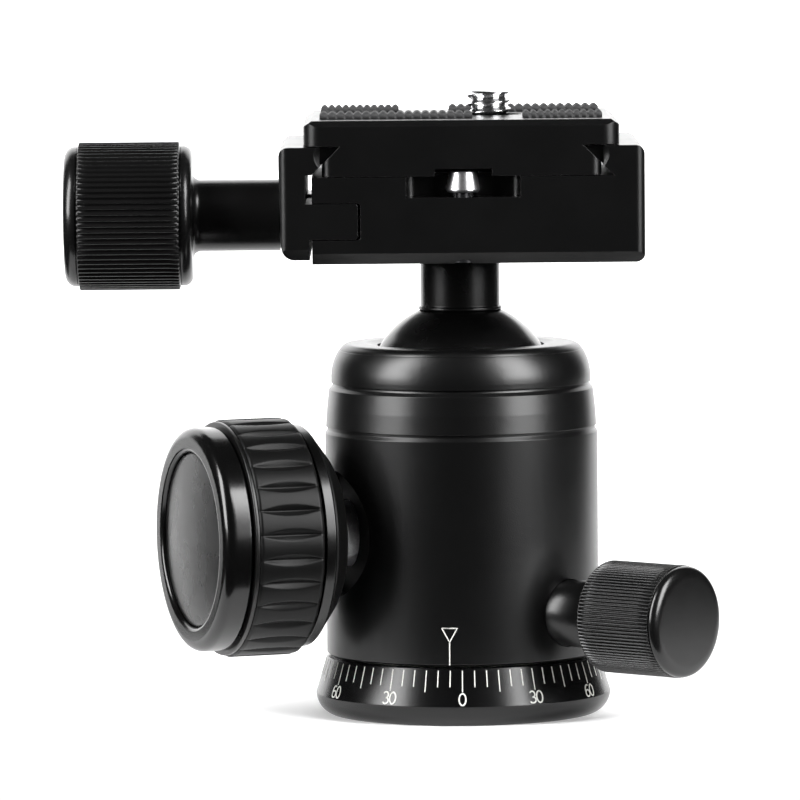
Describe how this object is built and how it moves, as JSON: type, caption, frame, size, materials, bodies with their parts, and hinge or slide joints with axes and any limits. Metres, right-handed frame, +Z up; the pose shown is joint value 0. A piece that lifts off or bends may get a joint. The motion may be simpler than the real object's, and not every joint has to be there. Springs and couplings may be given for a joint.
{
  "type": "tripod ball head",
  "caption": "Tripod ball head with a panning base, round housing, lock knobs, ball on a short stem and a screw clamp holding a dovetail camera plate",
  "frame": {"origin": "centre of the base's underside, at the mouth of the tripod thread", "axes": "+Z up along the housing's axis, -Y towards the front with the safety pin and the scale's zero, -X towards the clamp knob"},
  "size_m": [0.0933, 0.0531, 0.0895],
  "materials": {
    "base_black": "bead-blasted and anodised black, with a white degree scale",
    "housing_black": "bead-blasted and anodised black",
    "crown_black": "bead-blasted and anodised black",
    "ball_black": "hard anodised black, smooth",
    "stem_black": "turned and anodised black",
    "clamp_black": "milled, bead-blasted and anodised black",
    "jaw_black": "milled, bead-blasted and anodised black",
    "plate_black": "milled, bead-blasted and anodised black",
    "knob_back_black": "turned and anodised black",
    "ring_gloss": "polished and anodised black",
    "cap_gloss": "polished and anodised black",
    "disc_satin": "satin, finely turned",
    "lip_black": "moulded black",
    "core_plastic": "moulded dark core",
    "grip_rubber": "matte moulded rubber",
    "pad_rubber": "matte dark grey rubber with pointed bumps",
    "knurl_pan": "knurled and anodised black",
    "knurl_clamp": "knurled and anodised black",
    "collar_bright": "satin natural alloy",
    "alloy": "turned, natural",
    "steel": "turned steel",
    "black_steel": "black oxide",
    "spring_steel": "spring steel",
    "brass": "stamped sheet",
    "nylon": "natural nylon",
    "pin_chrome": "polished chrome",
    "screw_chrome": "bright plated steel"
  },
  "bodies": {
    "base": {"base_ring": "base_black", "thread_bush": "steel", "pan_spindle": "alloy", "spindle_screws": "black_steel", "glide_ring": "nylon", "retaining_ring": "spring_steel"},
    "housing": {"housing": "housing_black", "crown_ring": "crown_black", "thrust_washer": "brass", "upper_liner": "nylon"},
    "lifter": {"seat_lifter": "alloy", "drag_spring": "spring_steel"},
    "seat": {"ball_seat": "nylon"},
    "ball": {"ball": "ball_black", "stem": "stem_black"},
    "push": {"push_pin": "steel"},
    "main_knob": {"main_screw": "steel", "main_collar": "collar_bright", "knob_back": "knob_back_black", "knob_rear_ring": "ring_gloss", "knob_hub": "core_plastic", "knob_grip": "grip_rubber", "knob_lip": "lip_black", "knob_cap": "cap_gloss", "knob_disc": "disc_satin"},
    "pad": {"brake_pad": "nylon"},
    "pan_knob": {"pan_screw": "steel", "pan_knob": "knurl_pan"},
    "clamp": {"clamp_body": "clamp_black", "clamp_bolt": "black_steel", "pin_plug": "black_steel", "pin_spring": "spring_steel", "jaw_springs": "spring_steel"},
    "jaw": {"movable_jaw": "jaw_black", "jaw_washer": "steel"},
    "clamp_knob": {"clamp_screw": "steel", "clamp_knob": "knurl_clamp"},
    "plate": {"camera_plate": "plate_black", "pad_front_left": "pad_rubber", "pad_front_right": "pad_rubber", "pad_back_left": "pad_rubber", "pad_back_right": "pad_rubber"},
    "pin": {"safety_pin": "pin_chrome", "pin_clip": "spring_steel"},
    "clip": {"screw_clip": "spring_steel"},
    "screw": {"camera_screw": "screw_chrome"}
  },
  "joints": [
    {"name": "pan", "type": "hinge", "parent": "base", "child": "housing", "pos_m": [0, 0, 0.01], "axis": [0, 0, 1], "continuous": true},
    {"name": "ball_swivel", "type": "hinge", "parent": "housing", "child": "seat", "pos_m": [0, 0, 0.0456], "axis": [0, 0, 1], "range_deg": [-180, 0]},
    {"name": "ball_tilt", "type": "hinge", "parent": "seat", "child": "ball", "pos_m": [0, 0, 0.0456], "axis": [-1, 0, 0], "range_deg": [-30, 90]},
    {"name": "ball_spin", "type": "hinge", "parent": "ball", "child": "clamp", "pos_m": [0, 0, 0.0456], "axis": [0, 0, 1], "continuous": true},
    {"name": "main_push", "type": "slide", "parent": "housing", "child": "push", "axis": [-0.9373, -0.3486, 0], "range_m": [0, 0.00095]},
    {"name": "main_knob_turn", "type": "hinge", "parent": "push", "child": "main_knob", "pos_m": [0, 0, 0.02645], "axis": [-0.9373, -0.3486, 0], "range_deg": [0, 270]},
    {"name": "seat_drop", "type": "slide", "parent": "housing", "child": "lifter", "axis": [0, 0, -1], "range_m": [0, 0.00035]},
    {"name": "pan_push", "type": "slide", "parent": "housing", "child": "pad", "axis": [0.7705, -0.6374, 0], "range_m": [0, 0.00076]},
    {"name": "pan_knob_turn", "type": "hinge", "parent": "pad", "child": "pan_knob", "pos_m": [0, 0, 0.0153], "axis": [0.7705, -0.6374, 0], "range_deg": [0, 270]},
    {"name": "jaw_slide", "type": "slide", "parent": "clamp", "child": "jaw", "axis": [-1, 0, 0], "range_m": [0, 0.00201]},
    {"name": "clamp_knob_turn", "type": "hinge", "parent": "jaw", "child": "clamp_knob", "pos_m": [0, 0, 0.07195], "axis": [-1, 0, 0], "range_deg": [0, 720]},
    {"name": "plate_slide", "type": "slide", "parent": "clamp", "child": "plate", "axis": [0, 1, 0], "range_m": [-0.006, 0.045]},
    {"name": "safety_pin_press", "type": "slide", "parent": "clamp", "child": "pin", "axis": [0, 0, -1], "range_m": [0, 0.0016], "stiffness_N_per_m": 150, "springref_m": -0.003, "deforming": ["pin_spring"]},
    {"name": "screw_slide", "type": "slide", "parent": "plate", "child": "clip", "axis": [-1, 0, 0], "range_m": [-0.0013, 0.0095]},
    {"name": "camera_screw_turn", "type": "hinge", "parent": "clip", "child": "screw", "pos_m": [0.0043, 0, 0.085], "axis": [0, 0, 1], "continuous": true}
  ],
  "couplings": [
    {"joint": "main_push", "follows": "main_knob_turn", "m_per_rad": 0.00019894},
    {"joint": "seat_drop", "follows": "main_knob_turn", "m_per_rad": 0.00007241},
    {"joint": "pan_push", "follows": "pan_knob_turn", "m_per_rad": 0.00015915},
    {"joint": "jaw_slide", "follows": "clamp_knob_turn", "m_per_rad": 0.00015915}
  ]
}
